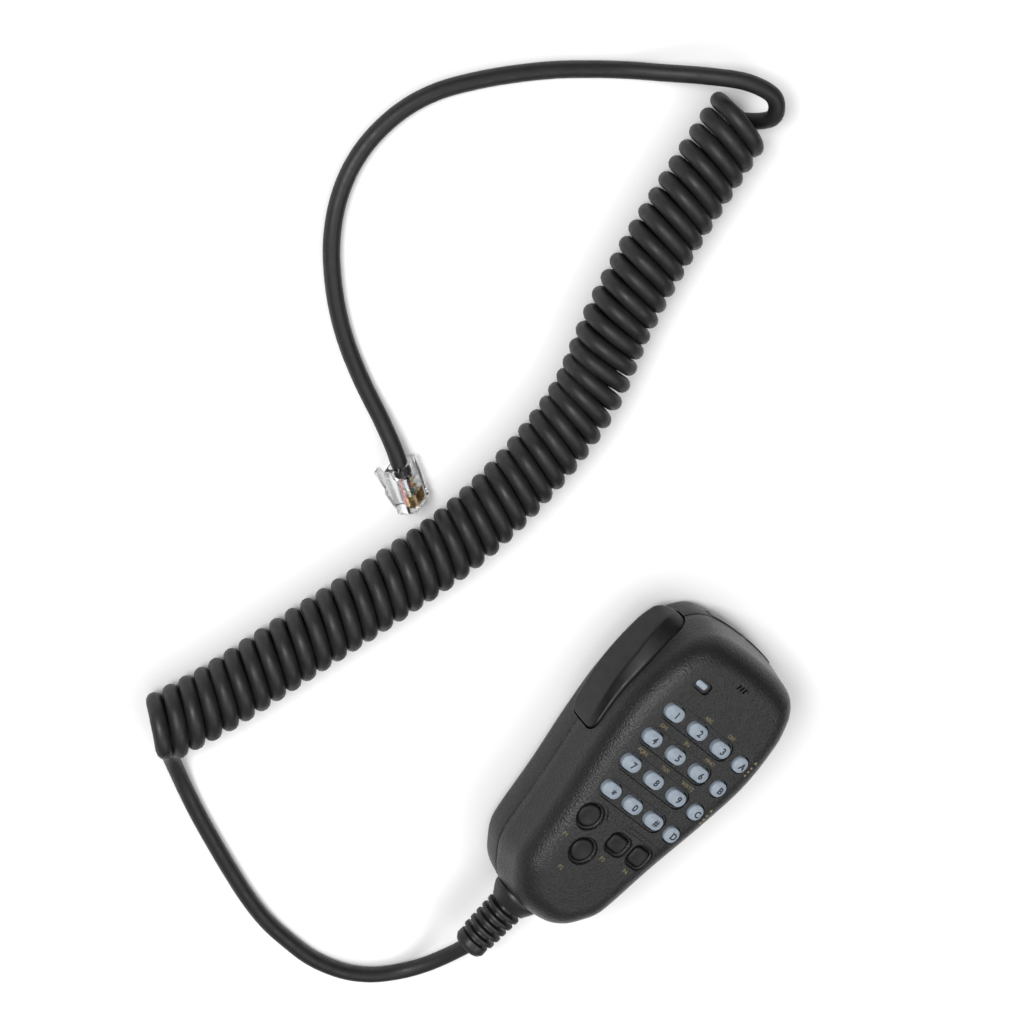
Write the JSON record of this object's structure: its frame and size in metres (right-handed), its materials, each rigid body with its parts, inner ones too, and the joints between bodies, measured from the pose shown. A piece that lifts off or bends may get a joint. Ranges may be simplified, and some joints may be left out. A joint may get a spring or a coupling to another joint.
{
  "type": "hand microphone",
  "caption": "Hand-held radio microphone lying on its back, with a keypad, a sprung talk lever, scan buttons and a curly cord that ends in a clear modular plug.",
  "frame": {"origin": "centre of the case's outline, talk lever included and cord left out, at the level of the surface it rests on", "axes": "X across the face, with the talk lever on the -X side; Y up the body, away from the cord; Z out of the face"},
  "size_m": [0.2271, 0.2923, 0.0353],
  "materials": {
    "case_plastic": "fine spark-eroded grain, dark charcoal",
    "lever_plastic": "smooth satin moulding",
    "button_plastic": "smooth satin moulding",
    "key_silicone": "translucent bluish-white silicone with dark legends",
    "mat_silicone": "translucent silicone",
    "steel": "zinc plated",
    "hanger_metal": "nickel plated",
    "board": "solder mask over glass laminate",
    "component_plastic": "moulded package",
    "contact_rubber": "carbon loaded",
    "led": "moulded lamp",
    "lens": "milky diffusing lens",
    "capsule_metal": "stamped can",
    "mesh_cloth": "woven dust cloth",
    "nylon": "natural nylon",
    "wire_pvc": "coloured insulation",
    "cord_rubber": "matt black jacket",
    "clear_plastic": "clear polycarbonate",
    "gold": "gold flashed",
    "key_ink": "printed key legends",
    "label_ink": "printed labels on the face"
  },
  "bodies": {
    "case": {"front_shell": "case_plastic", "rear_shell": "case_plastic", "shell_screws": "steel", "hanger_button": "hanger_metal", "hanger_screw": "steel", "main_board": "board", "board_screws": "steel", "board_parts": "component_plastic", "keypad_mat": "mat_silicone", "key_contacts": "contact_rubber", "backlight_leds": "led", "status_led": "led", "status_lens": "lens", "mic_capsule": "capsule_metal", "mic_boot": "cord_rubber", "mic_mesh": "mesh_cloth", "side_boards": "board", "ptt_switch": "component_plastic", "ptt_pin": "steel", "scan_switches": "component_plastic", "slide_switch_frames": "capsule_metal", "wire_plug": "nylon", "harness_wires": "wire_pvc", "inner_jacket": "cord_rubber", "cord_clamp": "component_plastic", "strain_relief": "cord_rubber", "cord_lead": "cord_rubber", "cord_coil": "cord_rubber", "cord_tail": "cord_rubber", "plug_body": "clear_plastic", "plug_contacts": "gold", "plug_wires": "wire_pvc"},
    "talk_lever": {"ptt_lever": "lever_plastic", "ptt_spring": "steel"},
    "talk_plunger": {"ptt_plunger": "nylon"},
    "up_key": {"up_button": "button_plastic"},
    "down_key": {"down_button": "button_plastic"},
    "lock_slide": {"lock_slider": "button_plastic"},
    "lamp_slide": {"lamp_slider": "button_plastic"},
    "latch": {"plug_latch": "clear_plastic"},
    "key_1_body": {"key_1": "key_silicone"},
    "key_2_body": {"key_2": "key_silicone"},
    "key_3_body": {"key_3": "key_silicone"},
    "key_a_body": {"key_a": "key_silicone"},
    "key_4_body": {"key_4": "key_silicone"},
    "key_5_body": {"key_5": "key_silicone"},
    "key_6_body": {"key_6": "key_silicone"},
    "key_b_body": {"key_b": "key_silicone"},
    "key_7_body": {"key_7": "key_silicone"},
    "key_8_body": {"key_8": "key_silicone"},
    "key_9_body": {"key_9": "key_silicone"},
    "key_c_body": {"key_c": "key_silicone"},
    "key_star_body": {"key_star": "key_silicone"},
    "key_0_body": {"key_0": "key_silicone"},
    "key_hash_body": {"key_hash": "key_silicone"},
    "key_d_body": {"key_d": "key_silicone"},
    "p1_button_body": {"p1_button": "button_plastic"},
    "p2_button_body": {"p2_button": "button_plastic"},
    "p3_button_body": {"p3_button": "button_plastic"},
    "p4_button_body": {"p4_button": "button_plastic"}
  },
  "joints": [
    {"name": "talk_press", "type": "hinge", "parent": "case", "child": "talk_lever", "pos_m": [-0.0208, 0.00575, 0.0168], "axis": [0, 0, -1], "range_deg": [0, 1.9], "stiffness_Nm_per_rad": 1.6},
    {"name": "talk_plunge", "type": "slide", "parent": "case", "child": "talk_plunger", "axis": [1, 0, 0], "range_m": [0, 0.0011]},
    {"name": "up_press", "type": "slide", "parent": "case", "child": "up_key", "axis": [0, -1, 0], "range_m": [0, 0.0006], "stiffness_N_per_m": 1500},
    {"name": "down_press", "type": "slide", "parent": "case", "child": "down_key", "axis": [0, -1, 0], "range_m": [0, 0.0006], "stiffness_N_per_m": 1500},
    {"name": "lock_switch", "type": "slide", "parent": "case", "child": "lock_slide", "axis": [0, 1, 0], "range_m": [0, 0.0025]},
    {"name": "lamp_switch", "type": "slide", "parent": "case", "child": "lamp_slide", "axis": [0, 1, 0], "range_m": [0, 0.0025]},
    {"name": "latch_flex", "type": "hinge", "parent": "case", "child": "latch", "pos_m": [-0.11472, 0.01953, 0.00409], "axis": [0.3067, 0.5649, -0.766], "range_deg": [0, 12], "stiffness_Nm_per_rad": 0.08},
    {"name": "key_1_press", "type": "slide", "parent": "case", "child": "key_1_body", "axis": [0, 0, -1], "range_m": [0, 0.0008], "stiffness_N_per_m": 1000},
    {"name": "key_2_press", "type": "slide", "parent": "case", "child": "key_2_body", "axis": [0, 0, -1], "range_m": [0, 0.0008], "stiffness_N_per_m": 1000},
    {"name": "key_3_press", "type": "slide", "parent": "case", "child": "key_3_body", "axis": [0, 0, -1], "range_m": [0, 0.0008], "stiffness_N_per_m": 1000},
    {"name": "key_a_press", "type": "slide", "parent": "case", "child": "key_a_body", "axis": [0, 0, -1], "range_m": [0, 0.0008], "stiffness_N_per_m": 1000},
    {"name": "key_4_press", "type": "slide", "parent": "case", "child": "key_4_body", "axis": [0, 0, -1], "range_m": [0, 0.0008], "stiffness_N_per_m": 1000},
    {"name": "key_5_press", "type": "slide", "parent": "case", "child": "key_5_body", "axis": [0, 0, -1], "range_m": [0, 0.0008], "stiffness_N_per_m": 1000},
    {"name": "key_6_press", "type": "slide", "parent": "case", "child": "key_6_body", "axis": [0, 0, -1], "range_m": [0, 0.0008], "stiffness_N_per_m": 1000},
    {"name": "key_b_press", "type": "slide", "parent": "case", "child": "key_b_body", "axis": [0, 0, -1], "range_m": [0, 0.0008], "stiffness_N_per_m": 1000},
    {"name": "key_7_press", "type": "slide", "parent": "case", "child": "key_7_body", "axis": [0, 0, -1], "range_m": [0, 0.0008], "stiffness_N_per_m": 1000},
    {"name": "key_8_press", "type": "slide", "parent": "case", "child": "key_8_body", "axis": [0, 0, -1], "range_m": [0, 0.0008], "stiffness_N_per_m": 1000},
    {"name": "key_9_press", "type": "slide", "parent": "case", "child": "key_9_body", "axis": [0, 0, -1], "range_m": [0, 0.0008], "stiffness_N_per_m": 1000},
    {"name": "key_c_press", "type": "slide", "parent": "case", "child": "key_c_body", "axis": [0, 0, -1], "range_m": [0, 0.0008], "stiffness_N_per_m": 1000},
    {"name": "key_star_press", "type": "slide", "parent": "case", "child": "key_star_body", "axis": [0, 0, -1], "range_m": [0, 0.0008], "stiffness_N_per_m": 1000},
    {"name": "key_0_press", "type": "slide", "parent": "case", "child": "key_0_body", "axis": [0, 0, -1], "range_m": [0, 0.0008], "stiffness_N_per_m": 1000},
    {"name": "key_hash_press", "type": "slide", "parent": "case", "child": "key_hash_body", "axis": [0, 0, -1], "range_m": [0, 0.0008], "stiffness_N_per_m": 1000},
    {"name": "key_d_press", "type": "slide", "parent": "case", "child": "key_d_body", "axis": [0, 0, -1], "range_m": [0, 0.0008], "stiffness_N_per_m": 1000},
    {"name": "p1_button_press", "type": "slide", "parent": "case", "child": "p1_button_body", "axis": [0, 0, -1], "range_m": [0, 0.0008], "stiffness_N_per_m": 1000},
    {"name": "p2_button_press", "type": "slide", "parent": "case", "child": "p2_button_body", "axis": [0, 0, -1], "range_m": [0, 0.0008], "stiffness_N_per_m": 1000},
    {"name": "p3_button_press", "type": "slide", "parent": "case", "child": "p3_button_body", "axis": [0, 0, -1], "range_m": [0, 0.0008], "stiffness_N_per_m": 1000},
    {"name": "p4_button_press", "type": "slide", "parent": "case", "child": "p4_button_body", "axis": [0, 0, -1], "range_m": [0, 0.0008], "stiffness_N_per_m": 1000}
  ],
  "couplings": [
    {"joint": "talk_plunge", "follows": "talk_press", "m_per_rad": 0.0325}
  ]
}
